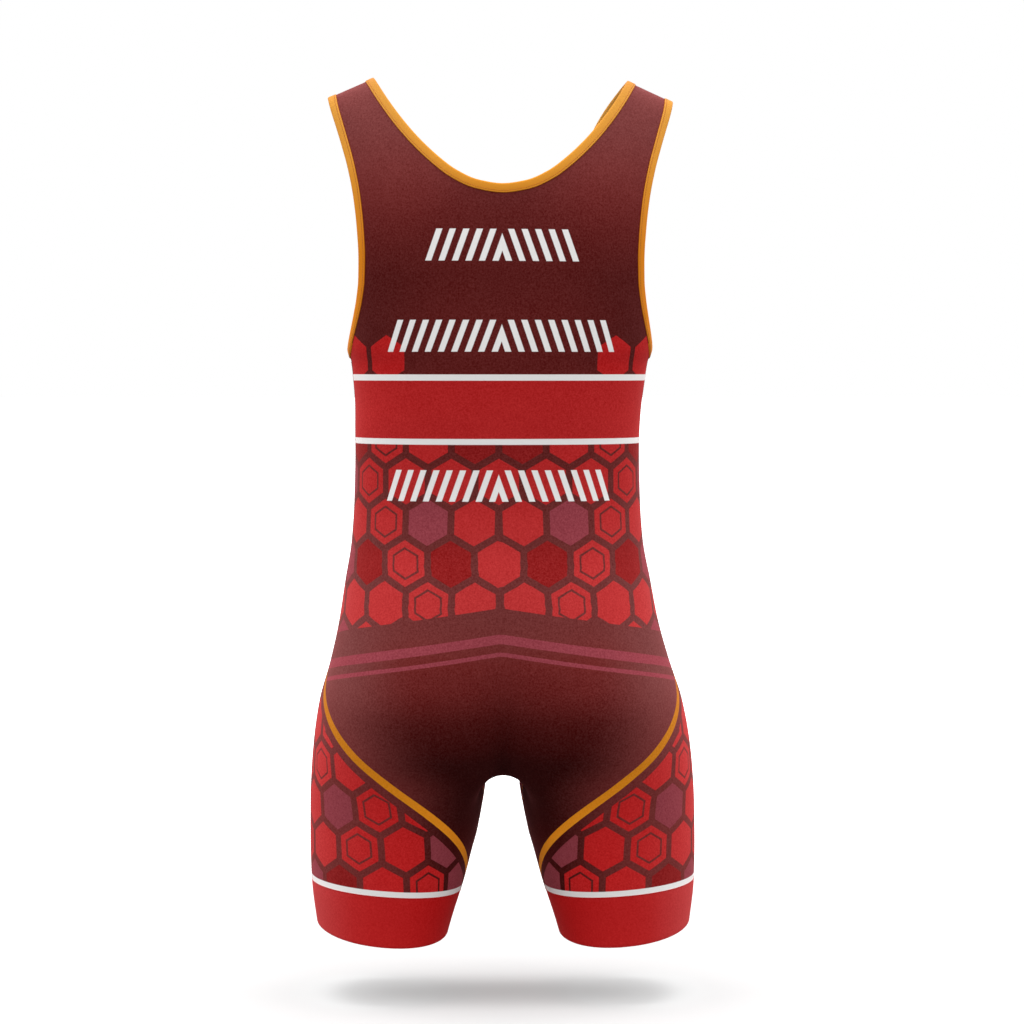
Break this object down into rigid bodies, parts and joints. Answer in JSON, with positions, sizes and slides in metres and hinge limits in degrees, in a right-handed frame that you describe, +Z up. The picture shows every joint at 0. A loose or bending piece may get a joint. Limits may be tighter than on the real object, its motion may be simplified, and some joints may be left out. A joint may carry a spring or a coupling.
{
  "type": "wrestling singlet",
  "caption": "Sleeveless close-fitting sports garment in stretch cloth, with wide straps, low neck, deep armholes and short legs, filled out as worn.",
  "frame": {"origin": "midway between the shoulder straps, level with the top of the straps, on the plane of the side and shoulder seams, where the wearer's shoulders hold the garment up", "axes": "+Z up, from the hems to the shoulder seams; -Y the way the wearer faces, so the back panel is on +Y; +X to the wearer's left"},
  "size_m": [0.3852, 0.2293, 0.8565],
  "materials": {
    "body_cloth": "matte stretch knit with a soft nap",
    "binding_cloth": "matte folded stretch binding",
    "leg_band_cloth": "matte stretch knit, doubled"
  },
  "bodies": {
    "root": {"back_panel": "body_cloth", "front_panel": "body_cloth", "neck_binding": "binding_cloth", "armhole_binding_left": "binding_cloth", "armhole_binding_right": "binding_cloth", "leg_band_left": "leg_band_cloth", "leg_band_right": "leg_band_cloth"}
  },
  "joints": []
}
